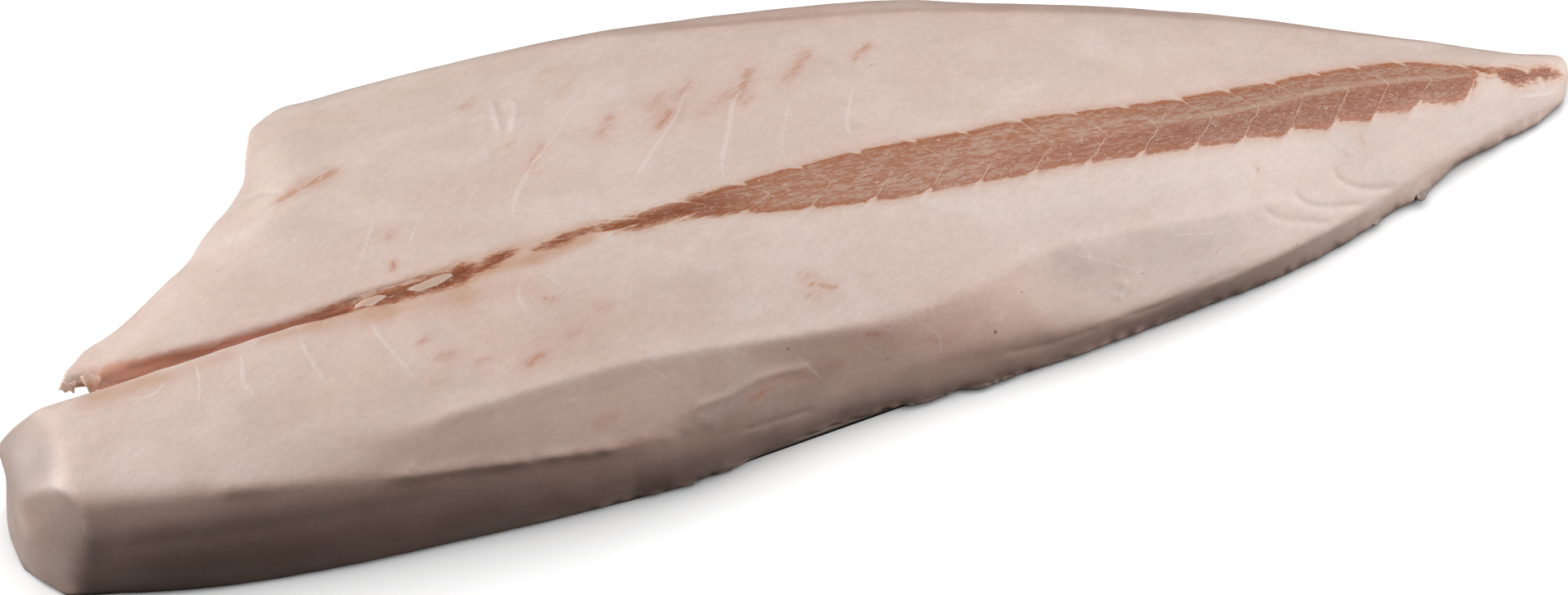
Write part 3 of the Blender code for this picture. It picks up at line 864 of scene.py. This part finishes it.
def mark_flesh(mesh, points, surface):
    """Stores the flesh's lines, stains and tints, and where painted light and painted shade go."""
    x, y, z = points.T
    septum = np.full(len(points), 6.0)
    for knots, strength in SEPTA:
        line = laid_on(surface, through(knots))
        close, gap, along = near_line(points, line, 6.0)
        fade = strength * (0.25 + 0.75 * faded(along, 0.3))
        septum[close] = np.minimum(septum[close], gap / fade.clip(0.15))
    store(mesh, "septum", septum)
    speck = np.full(len(points), 6.0)
    for place, radius in SPECKS:
        spot = laid_on(surface, np.array([place], float))[0]
        speck = np.minimum(speck, np.linalg.norm(points - spot, axis=1) / radius)
    store(mesh, "speck", speck)
    around = [(start, end, 2.4 * radius + 1, strength) for start, end, radius, strength in STAINS]
    for name, marks, low, high in (
        ("stain", STAINS, 0, 1.4), ("halo", around, 0, 1), ("amber", AMBER, 0, 1),
        ("cream", CREAM, -1, 1),
    ):
        store(mesh, name, soft_marks(points, marks, surface).clip(low, high))
    # Painted shade: the belly side's wall below its ridge, towards the tail, is darkened through
    # the tone field.
    top = height_of(RIDGE_HEIGHT, x)
    side = ramp(top - z, -0.5, 2.0) * belly_side(y, z) * ramp(x, 85, 130)
    side *= 1 - 0.75 * ramp(x, 200, 235)
    store(mesh, "tone", soft_marks(points, LIGHT_SHADE_AND_TONE_PATCHES, surface).clip(-4.5, 7.0) - SIDE_SHADE * side)
    # Painted shade on the back's wall beyond its ridge, from the middle towards the tail.
    ridge = np.array(BACK_RIDGE, float)[:, :2]
    store(mesh, "dull", ramp(y - height_of(ridge, x), -1.5, 2.0) * ramp(x, -115, -60))
    # Painted shade: flesh that faces the front, away from the lamps, is tinted warmer and darker.
    facing = smoothed(mesh_normals(mesh), mesh_edges(mesh), 8)
    facing /= np.linalg.norm(facing, axis=1)[:, None]
    right = ramp(x, 20, 120)
    blush = ramp(-facing[:, 1] - 0.35 * right, 0.3, 1.05 - 0.25 * right)
    blush = np.maximum(blush, soft_marks(points, SHADE_WARMTH_MARKS, surface))
    store(mesh, "blush", blush.clip(0, 1))
    # Painted shade: flesh on the head end's face that faces away along -X is darkened.
    store(mesh, "end", ramp(-facing[:, 0], 0.3, 0.75) * ramp(-x, 300, 308) * ramp(-y, 20, 26))


# ---------------------------------------------------------------- materials

# How far red, green and blue light spread inside the flesh, against each other.
GLOW_SPREAD = (1.0, 0.5, 0.3)


class Paint:
    """A material whose node tree is written as short expressions."""

    def __init__(self, name):
        self.material = bpy.data.materials.new(name)
        self.material.use_nodes = True
        self.tree = self.material.node_tree
        self.shader = self.tree.nodes["Principled BSDF"]
        self.place = self.tree.nodes.new("ShaderNodeTexCoord").outputs["Object"]

    def put(self, socket, value):
        if isinstance(value, bpy.types.NodeSocket):
            self.tree.links.new(value, socket)
        else:
            socket.default_value = value

    def node(self, kind, inputs, **settings):
        """A new node with its settings made and its inputs filled in."""
        made = self.tree.nodes.new("ShaderNode" + kind)
        for name, value in settings.items():
            setattr(made, name, value)
        for name, value in inputs.items():
            self.put(made.inputs[name], value)
        return made

    def field(self, name):
        return self.node("Attribute", {}, attribute_name=name).outputs["Fac"]

    def calc(self, operation, *values):
        made = self.node("Math", dict(enumerate(values)), operation=operation)
        return made.outputs["Value"]

    def times(self, first, second):
        return self.calc("MULTIPLY", first, second)

    def plus(self, first, second):
        return self.calc("ADD", first, second)

    def step(self, value, low, high, start=0.0, end=1.0):
        """A smooth step from start, below low, to end, above high."""
        inputs = {"Value": value, "From Min": low, "From Max": high, "To Min": start, "To Max": end}
        return self.node("MapRange", inputs, interpolation_type="SMOOTHSTEP").outputs["Result"]

    def along(self, turn=0.0, stretch=1.0, shift=0.0):
        """Places on the loin, drawn out along the fibres' direction."""
        inputs = {"Vector": self.place, "Angle": math.radians(-turn)}
        spun = self.node("VectorRotate", inputs, rotation_type="Z_AXIS")
        return self.node("Mapping", {
            "Vector": spun.outputs["Vector"], "Scale": (1 / stretch, 1, 1),
            "Location": (shift, shift * 0.7, shift * 0.3),
        }).outputs["Vector"]

    def noise(self, where, size, detail=2.0, roughness=0.5, warp=0.0):
        """Noise between 0 and 1 whose grains are about size mm wide."""
        return self.node("TexNoise", {
            "Vector": where, "Scale": 1 / (size * MM), "Detail": detail,
            "Roughness": roughness, "Distortion": warp,
        }).outputs["Fac"]

    def mix(self, amount, first, second, way="MIX"):
        made = self.node("Mix", {"Factor": amount}, data_type="RGBA", blend_type=way)
        colours = [s for s in made.inputs if s.type == "RGBA"]
        for socket, value in zip(colours, (first, second)):
            self.put(socket, value if isinstance(value, bpy.types.NodeSocket) else (*value, 1.0))
        return next(s for s in made.outputs if s.type == "RGBA")

    def tone(self, colour, factor):
        """A colour made lighter or darker by a factor."""
        made = self.node("VectorMath", {0: colour, "Scale": factor}, operation="SCALE")
        return made.outputs["Vector"]

    def line(self, value, level, core, reach, strength):
        """Strong where a value is within core of a level, 0 beyond reach of it."""
        away = self.calc("ABSOLUTE", self.calc("SUBTRACT", value, level))
        return self.step(away, core, reach, strength, 0.0)

    def bump(self, height, distance):
        made = self.node("Bump", {"Distance": distance * MM, "Height": height})
        self.put(self.shader.inputs["Normal"], made.outputs["Normal"])

    def moist(self, base, roughness, shine, glow, glow_depth):
        """Finishes the shader as moist flesh that light enters a little."""
        for name, value in {
            "Base Color": base, "Roughness": roughness, "Specular IOR Level": shine,
            "Subsurface Weight": glow, "Subsurface Radius": GLOW_SPREAD,
            "Subsurface Scale": glow_depth,
        }.items():
            self.put(self.shader.inputs[name], value)


def white_flesh(paint, colours):
    """The trimmed flesh's colour: clouds, fibres, strokes, tints and stains, with painted light and
    painted shade.
    """
    fibre = paint.noise(paint.along(24, 3.0), 1.3, 3, 0.6, 0.8)
    cloud = paint.noise(paint.along(0, 1.6, 0.3), 15, 4, 0.55, 0.4)
    broad = paint.noise(paint.along(0, 2.0, 0.9), 60, 2)
    mottle = paint.noise(paint.along(15, 1.5, 0.6), 2.4, 4, 0.62, 0.9)
    base = paint.mix(paint.step(cloud, 0.35, 0.65), colours.flesh, (0.735, 0.60, 0.54))
    base = paint.mix(paint.step(broad, 0.4, 0.62, 0, 0.5), base, (0.70, 0.53, 0.465))
    cream = paint.field("cream")
    base = paint.mix(paint.step(cream, 0, 1, 0, 0.8), base, (0.69, 0.575, 0.495))
    pink = paint.step(paint.times(cream, -1.0), 0, 1, 0, 0.8)
    base = paint.mix(pink, base, (0.76, 0.645, 0.59))
    base = paint.tone(base, paint.step(fibre, 0.3, 0.7, 0.965, 1.035))
    base = paint.tone(base, paint.step(mottle, 0.3, 0.7, 0.965, 1.035))
    # Painted light and painted shade, mixed with the flesh's own lighter and darker patches.
    base = paint.tone(base, paint.calc("MULTIPLY_ADD", paint.field("tone"), 0.08, 1.0))
    threads = paint.noise(paint.along(24, 5.0, 0.5), 2.4, 1, 0.5, 1.2)
    stroke = paint.line(threads, 0.5, 0.0, 0.02, 0.4)
    stroke = paint.times(stroke, paint.step(cloud, 0.48, 0.6))
    base = paint.mix(stroke, base, (0.80, 0.71, 0.66))

    wisps = paint.noise(paint.along(27, 5.0, 0.2), 1.5, 4, 0.68, 0.4)
    amber = paint.times(paint.field("amber"), paint.step(wisps, 0.3, 0.65, 0.6, 1.0))
    base = paint.mix(amber, base, colours.amber)
    streaks = paint.step(wisps, 0.38, 0.60, 0.22, 1.0)
    stain = paint.times(paint.step(paint.field("stain"), 0.02, 0.8), streaks)
    base = paint.mix(paint.times(stain, 0.85), base, colours.stain)
    halo = paint.step(paint.field("halo"), 0.0, 1.0)
    halo = paint.times(halo, paint.step(wisps, 0.3, 0.62, 0.2, 1.0))
    base = paint.mix(paint.times(halo, 0.45), base, (0.62, 0.36, 0.26))
    ragged = paint.noise(paint.place, 0.8, 2, 0.6)
    speck = paint.calc("MULTIPLY_ADD", ragged, 0.9, paint.field("speck"))
    base = paint.mix(paint.step(speck, 0.75, 1.6, 0.85, 0.0), base, (0.24, 0.075, 0.045))

    waver = paint.noise(paint.place, 4.0, 2, 0.5)
    septum = paint.calc("MULTIPLY_ADD", waver, 0.8, paint.field("septum"))
    septum = paint.line(septum, 0.4, 0.1, 1.5, 0.46)
    base = paint.mix(septum, base, (0.84, 0.755, 0.71))
    # Painted shade on the back's wall beyond its ridge.
    base = paint.mix(paint.field("dull"), base, (0.89, 0.83, 0.80), "MULTIPLY")
    # Painted shade: flesh facing the front, and the patches of warm shade, are tinted warmer and
    # darker.
    base = paint.mix(paint.field("blush"), base, (1.0, 0.86, 0.81), "MULTIPLY")
    # Painted shade on the head end's face.
    base = paint.mix(paint.field("end"), base, (0.51, 0.505, 0.50), "MULTIPLY")
    height = paint.times(paint.plus(fibre, mottle), 0.3)
    return base, paint.calc("MULTIPLY_ADD", septum, 0.5, height), cloud


def dark_muscle(paint, colours):
    """The dark muscle's colour: bundles of fibres between pale threads, a
    broken red-brown rim and white chevrons. Also how far inside it a place is."""
    chevron = paint.field("chevron")
    waver = paint.noise(paint.place, 5.0, 2, 0.5)
    bent = paint.calc("MULTIPLY_ADD", waver, 0.14, chevron)
    phase = paint.calc("FRACT", paint.plus(bent, 0.43))
    phase = paint.calc("ABSOLUTE", paint.calc("SUBTRACT", phase, 0.5))
    scallop = paint.step(phase, 0.0, 0.12, -1.3, 0.4)
    dark = paint.field("muscle_dark")
    frayed = paint.noise(paint.along(0, 5.5, 0.1), 1.1, 4, 0.72, 0.3)
    frayed = paint.calc("SUBTRACT", frayed, paint.step(dark, 0.5, 1, 0.5, 0.57))
    frayed = paint.times(frayed, paint.step(dark, 0.2, 1, 4.0, 8.0))
    edge = paint.plus(paint.field("muscle_depth"), paint.field("muscle_step"))
    edge = paint.plus(edge, paint.plus(scallop, frayed))

    # Red-brown bundles of fibres lie in a beige net; there are more of them
    # towards the head and in the lower half.
    flecks = paint.noise(paint.along(0, 5.0, 0.7), 0.95, 3, 0.6, 0.25)
    bundles = paint.noise(paint.along(0, 4.0, 0.4), 2.8, 2, 0.55, 0.3)
    level = paint.calc("MULTIPLY_ADD", dark, 0.13, 0.46)
    level = paint.plus(level, paint.step(bundles, 0.35, 0.65, -0.07, 0.07))
    beige = paint.step(flecks, level, paint.plus(level, 0.10))
    brown = paint.mix(paint.step(dark, 0.1, 1), colours.rim, (0.22, 0.055, 0.02))
    pale = paint.mix(paint.step(dark, 0.1, 1), colours.pith, (0.31, 0.112, 0.052))
    muscle = paint.mix(beige, brown, pale)
    muscle = paint.mix(paint.step(dark, 0.3, 0.9, 0.42, 0.1), muscle, colours.muscle)
    pale_seam = paint.times(paint.field("muscle_pale"), 0.5)
    muscle = paint.mix(pale_seam, muscle, (0.58, 0.395, 0.31))
    muscle = paint.mix(paint.field("muscle_low"), muscle, (0.86, 0.66, 0.53), "MULTIPLY")
    muscle = paint.mix(paint.field("muscle_tail"), muscle, (0.86, 0.85, 0.84), "MULTIPLY")
    blocks = paint.noise(paint.along(0, 3.5, 0.9), 2.4, 2, 0.5)
    rim = paint.step(edge, 0.6, 3.6, 0.95, 0.0)
    rim = paint.times(rim, paint.step(blocks, 0.36, 0.48, 0.3, 1.0))
    rim_colour = paint.mix(paint.step(dark, 0.1, 1), colours.rim, (0.33, 0.105, 0.042))
    muscle = paint.mix(rim, muscle, rim_colour)
    seam = paint.line(paint.field("muscle_across"), -0.05, 0.01, 0.09, 0.6)
    muscle = paint.mix(paint.times(seam, paint.step(blocks, 0.4, 0.6)), muscle, brown)
    veins = paint.noise(paint.along(0, 7.0, 0.15), 1.1, 2, 0.5, 0.35)
    muscle = paint.mix(paint.line(veins, 0.52, 0.0, 0.025, 0.5), muscle, (0.64, 0.49, 0.42))
    dots = paint.noise(paint.along(0, 2.5, 0.35), 0.9, 1, 0.5)
    muscle = paint.mix(paint.step(dots, 0.70, 0.75, 0, 0.6), muscle, (0.70, 0.58, 0.52))
    broken = paint.step(paint.noise(paint.place, 6.0, 2, 0.6), 0.36, 0.6, 0.15, 0.7)
    broken = paint.times(broken, paint.step(dark, 0.4, 1.0, 1.0, 0.35))
    chevrons = paint.times(paint.step(phase, 0.003, 0.018, 1.0, 0.0), broken)
    muscle = paint.mix(chevrons, muscle, (0.67, 0.52, 0.44))
    return muscle, edge, flecks


def flesh_material(colours):
    """White flesh, the dark muscle, its membranes and the slit's walls."""
    paint = Paint("flesh")
    base, height, cloud = white_flesh(paint, colours)
    muscle, edge, flecks = dark_muscle(paint, colours)
    dark = paint.field("muscle_dark")
    base = paint.mix(paint.step(edge, -5.0, 0.3, 0.0, 0.45), base, colours.amber)
    stained = paint.times(paint.step(edge, -2.3, 0.2), paint.step(dark, 0.3, 1.0, 0.2, 0.55))
    base = paint.mix(stained, base, (0.56, 0.27, 0.145))
    soft = paint.step(dark, 0.4, 1.0, 0.6, 1.3)
    inside = paint.step(edge, paint.times(soft, -1.0), soft)
    base = paint.mix(inside, base, muscle)
    membrane = paint.calc("MULTIPLY_ADD", flecks, 0.9, paint.field("membrane"))
    base = paint.mix(paint.step(membrane, 0.0, 1.4, 0.0, 0.92), base, (0.62, 0.44, 0.35))
    base = paint.mix(paint.line(membrane, 0.7, 0.1, 0.6, 0.6), base, (0.78, 0.64, 0.56))

    # The slit's walls are red-brown under the lips and painted paler further down, painted light
    # that stands in for light shining through the flesh.
    slit = paint.field("slit_depth")
    streaks = paint.noise(paint.along(0, 8.0, 0.6), 2.2, 3, 0.6)
    wall = paint.mix(paint.step(slit, 2.0, 7.0), colours.wall_top, colours.wall)
    wall = paint.tone(wall, paint.step(streaks, 0.3, 0.7, 0.85, 1.12))
    # Painted light: the wall at the back lobe's thin tip is lighter, standing in for light shining
    # through it.
    wall = paint.mix(paint.times(paint.field("thin"), 0.7), wall, (0.92, 0.68, 0.56))
    base = paint.mix(paint.step(slit, 0.0, 2.2), base, wall)

    paint.moist(base, paint.step(cloud, 0.3, 0.7, 0.42, 0.56), 0.4, 0.25, 0.003)
    grained = paint.times(flecks, paint.times(inside, 0.6))
    paint.bump(paint.plus(height, grained), 0.11)
    return paint.material


def tissue_material(name, colour, tint):
    """Thin torn tissue: faintly streaked and a little glossy."""
    paint = Paint(name)
    streaks = paint.noise(paint.along(20, 3.0), 1.2, 3, 0.6, 0.6)
    patches = paint.noise(paint.along(0, 1.5, 0.4), 4.0, 2, 0.5)
    base = paint.mix(paint.step(streaks, 0.3, 0.7, 0, 0.5), colour, tint)
    base = paint.mix(paint.step(patches, 0.4, 0.7, 0, 0.5), base, tint)
    paint.moist(base, paint.step(patches, 0.3, 0.7, 0.32, 0.48), 0.45, 0.35, 0.002)
    paint.bump(streaks, 0.15)
    return paint.material


# ---------------------------------------------------------------- operators


def add_piece(name, mesh, material):
    piece = placed(name, mesh)
    mesh.materials.clear()
    mesh.materials.append(material)
    mesh.shade_smooth()
    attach(piece, "root")
    return piece


def leaf(root, edge, thickness, bulge, wobble, seed):
    """A closed thin sheet between the line it hangs from and its free edge, in
    mm. It thins towards the edge and swells by bulge on the way."""
    def spaced(knots):
        line = through(knots, 0.4)
        run = np.concatenate([[0], np.cumsum(np.linalg.norm(np.diff(line, axis=0), axis=1))])
        want = np.linspace(0, run[-1], LEAF_COLUMNS)
        return np.stack([np.interp(want, run, line[:, k]) for k in range(3)], 1)

    start, end = spaced(root), spaced(edge)
    share = np.linspace(0, 1, LEAF_ROWS)[:, None, None]
    sheet = start * (1 - share) + end * share + np.array(bulge) * np.sin(math.pi * share)
    flat = sheet.reshape(-1, 3)
    waves = np.stack([swells(flat, 2.5, seed + k) for k in range(3)], 1).reshape(sheet.shape)
    sheet = sheet + waves * wobble * share
    across = np.gradient(sheet, axis=0)
    down = np.gradient(sheet, axis=1)
    normal = np.cross(across, down)
    normal /= np.linalg.norm(normal, axis=2)[:, :, None].clip(1e-6)
    half = 0.5 * thickness * (1 - LEAF_THINNING * share)
    work = bmesh.new()
    sides = [
        [[work.verts.new(tuple(p)) for p in row] for row in (sheet + normal * half * sign) * MM]
        for sign in (1, -1)
    ]
    for rows, order in zip(sides, (1, -1)):
        for i in range(LEAF_ROWS - 1):
            for j in range(LEAF_COLUMNS - 1):
                corners = (rows[i][j], rows[i][j + 1], rows[i + 1][j + 1], rows[i + 1][j])
                work.faces.new(corners[::order])
    front, back = sides
    rim = [(0, j) for j in range(LEAF_COLUMNS)]
    rim += [(i, LEAF_COLUMNS - 1) for i in range(1, LEAF_ROWS)]
    rim += [(LEAF_ROWS - 1, j) for j in reversed(range(LEAF_COLUMNS - 1))]
    rim += [(i, 0) for i in reversed(range(1, LEAF_ROWS - 1))]
    for (i, j), (k, m) in zip(rim, rim[1:] + rim[:1]):
        work.faces.new((front[k][m], front[i][j], back[i][j], back[k][m]))
    bmesh.ops.recalc_face_normals(work, faces=work.faces)
    return work


def leaves_mesh(name, leaves):
    mesh = bpy.data.meshes.new(name)
    joined = bmesh.new()
    for place, shape in enumerate(leaves):
        work = leaf(*shape, seed=20 + 3 * place)
        single = bpy.data.meshes.new("leaf")
        work.to_mesh(single)
        work.free()
        joined.from_mesh(single)
        bpy.data.meshes.remove(single)
    joined.to_mesh(mesh)
    joined.free()
    return mesh


class LOIN_OT_flesh(Operator):
    """Makes the loin's flesh"""

    bl_idname = "loin.flesh"
    bl_label = "Flesh"

    def execute(self, context):
        shape = context.scene.loin_shape
        mesh = remeshed(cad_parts["loin"], shape.grain)
        points = mesh_points(mesh)
        floor = points[:, 2] < UNDERSIDE * MM
        edges = mesh_edges(mesh)
        soft = smoothed(points, edges, shape.softening)
        share = 0.5 * softness(soft / MM)[:, None]
        soft = smoothed(soft, edges, shape.broad_softening, share)
        soft[floor, 2] = points[floor, 2].clip(0)
        set_mesh_points(mesh, soft)
        mesh = lightened(mesh, shape.faces_kept)
        even_back(mesh)
        loin = add_piece("loin_flesh", mesh, flesh_material(context.scene.loin_colours))
        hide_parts("loin")
        context.view_layer.update()

        points = mesh_points(mesh) / MM
        moved = points + mesh_normals(mesh) * relief(points, loin)[:, None]
        moved = corners_moved(moved)
        moved[:, 2] = moved[:, 2].clip(0)
        set_mesh_points(mesh, moved * MM)
        context.view_layer.update()
        mark_muscle(mesh, moved)
        mark_slit(mesh, moved)
        mark_flesh(mesh, moved, loin)
        return {"FINISHED"}


class LOIN_OT_torn_tip(Operator):
    """Makes the torn tissue at the back lobe's tip"""

    bl_idname = "loin.torn_tip"
    bl_label = "Torn tip"

    def execute(self, context):
        leaves = [(TIP_ROOT, TIP_EDGE, *TIP_FORM), (CURL_ROOT, CURL_EDGE, *CURL_FORM)]
        mesh = leaves_mesh("torn tip", leaves)
        colours = context.scene.loin_colours
        material = tissue_material("torn tip", colours.tissue, (0.76, 0.50, 0.38))
        add_piece("loin_torn_tip", mesh, material)
        return {"FINISHED"}


class LOIN_OT_foot_flaps(Operator):
    """Makes the loose flaps of tissue along the belly side's foot"""

    bl_idname = "loin.foot_flaps"
    bl_label = "Foot flaps"

    def execute(self, context):
        loin = context.scene.objects["loin_flesh"]
        leaves = []
        for x, z, half, stand in FLAPS:
            places = [x - half, x - 0.4 * half, x + 0.3 * half, x + half]
            rough = np.array([(place, float(height_of(FOOT, place)), z) for place in places])
            root = laid_on(loin, rough) + (0, 1.2, 0.6)
            off = np.array([0.4, 1.0, 0.7, 0.3])[:, None] * stand
            edge = root + (0, -1.2, 0) + off * (0.1, -1.0, -0.35)
            edge[:, 2] = edge[:, 2].clip(0.4)
            leaves.append((root, edge, *FLAP_FORM))
        mesh = leaves_mesh("foot flaps", leaves)
        colours = context.scene.loin_colours
        material = tissue_material("foot flaps", colours.flap, (0.34, 0.25, 0.21))
        add_piece("loin_foot_flaps", mesh, material)
        return {"FINISHED"}


class LOIN_OT_stage(Operator):
    """Makes the floor, the light and the camera"""

    bl_idname = "loin.stage"
    bl_label = "Stage"

    def execute(self, context):
        settings = context.scene.loin_stage
        scene = context.scene
        scene.view_settings.view_transform = "Standard"
        turn, height = settings.view_angle, settings.view_height
        target = Vector(LOOKED_AT)
        back = Vector((
            math.sin(turn) * math.cos(height),
            -math.cos(turn) * math.cos(height),
            math.sin(height),
        ))
        camera = placed("camera", bpy.data.cameras.new("camera"))
        camera.data.lens = settings.lens
        camera.location = target + back * settings.view_distance
        camera.rotation_euler = back.to_track_quat("Z", "Y").to_euler()
        scene.camera = camera

        floor_mesh = bpy.data.meshes.new("floor")
        work = bmesh.new()
        bmesh.ops.create_grid(work, x_segments=1, y_segments=1, size=FLOOR_SIZE)
        work.to_mesh(floor_mesh)
        work.free()
        floor = placed("floor", floor_mesh)
        floor.location.z = -FLOOR_GAP
        paint = Paint("floor")
        paint.shader.inputs["Base Color"].default_value = (0.9, 0.9, 0.9, 1)
        paint.shader.inputs["Roughness"].default_value = 0.9
        floor_mesh.materials.append(paint.material)
        floor.visible_diffuse = False
        floor.visible_glossy = False

        for_loin = bpy.data.collections.new("lit by the softboxes")
        for_loin.objects.link(floor)
        for_loin.collection_objects[0].light_linking.link_state = "EXCLUDE"
        for_floor = bpy.data.collections.new("lit by the floor lamp")
        for_floor.objects.link(floor)
        rightwards = Vector((math.cos(turn), math.sin(turn), 0))
        backwards = Vector((-math.sin(turn), math.cos(turn), 0))
        receivers = {"loin": for_loin, "floor": for_floor}
        for name, bearing, rise, distance, size, power, lit in LAMPS:
            bearing, rise = math.radians(bearing), math.radians(rise)
            flat = rightwards * math.cos(bearing) + backwards * math.sin(bearing)
            away = flat * math.cos(rise) + Vector((0, 0, math.sin(rise)))
            lamp = placed(name, bpy.data.lights.new(name, "AREA"))
            lamp.data.shape = "SQUARE"
            lamp.data.size = size
            lamp.data.energy = getattr(settings, power)
            lamp.location = away * distance
            lamp.rotation_euler = away.to_track_quat("Z", "Y").to_euler()
            lamp.light_linking.receiver_collection = receivers[lit]

        world = bpy.data.worlds.new("studio")
        world.use_nodes = True
        sky = world.node_tree.nodes["Background"].inputs
        sky["Color"].default_value = (1, 1, 1, 1)
        sky["Strength"].default_value = BACKDROP_STRENGTH
        world.cycles_visibility.diffuse = False
        world.cycles_visibility.glossy = False
        scene.world = world
        return {"FINISHED"}


class LOIN_PT_panel(Panel):
    """Buttons that make the loin's pieces"""

    bl_idname = "LOIN_PT_panel"
    bl_label = "Butterfish loin"
    bl_space_type = "VIEW_3D"
    bl_region_type = "UI"
    bl_category = "Loin"

    def draw(self, context):
        layout = self.layout
        for operator in OPERATORS:
            layout.operator(operator.bl_idname)


OPERATORS = (LOIN_OT_flesh, LOIN_OT_torn_tip, LOIN_OT_foot_flaps, LOIN_OT_stage)
CLASSES = (LoinShapeSettings, LoinColourSettings, StageSettings, *OPERATORS, LOIN_PT_panel)


def register():
    for made in CLASSES:
        bpy.utils.register_class(made)
    bpy.types.Scene.loin_shape = PointerProperty(type=LoinShapeSettings)
    bpy.types.Scene.loin_colours = PointerProperty(type=LoinColourSettings)
    bpy.types.Scene.loin_stage = PointerProperty(type=StageSettings)


def unregister():
    del bpy.types.Scene.loin_stage
    del bpy.types.Scene.loin_colours
    del bpy.types.Scene.loin_shape
    for made in reversed(CLASSES):
        bpy.utils.unregister_class(made)


def main():
    register()
    bpy.ops.loin.flesh()
    bpy.ops.loin.torn_tip()
    bpy.ops.loin.foot_flaps()
    bpy.ops.loin.stage()
    bpy.context.view_layer.update()


if __name__ == "__main__":
    main()
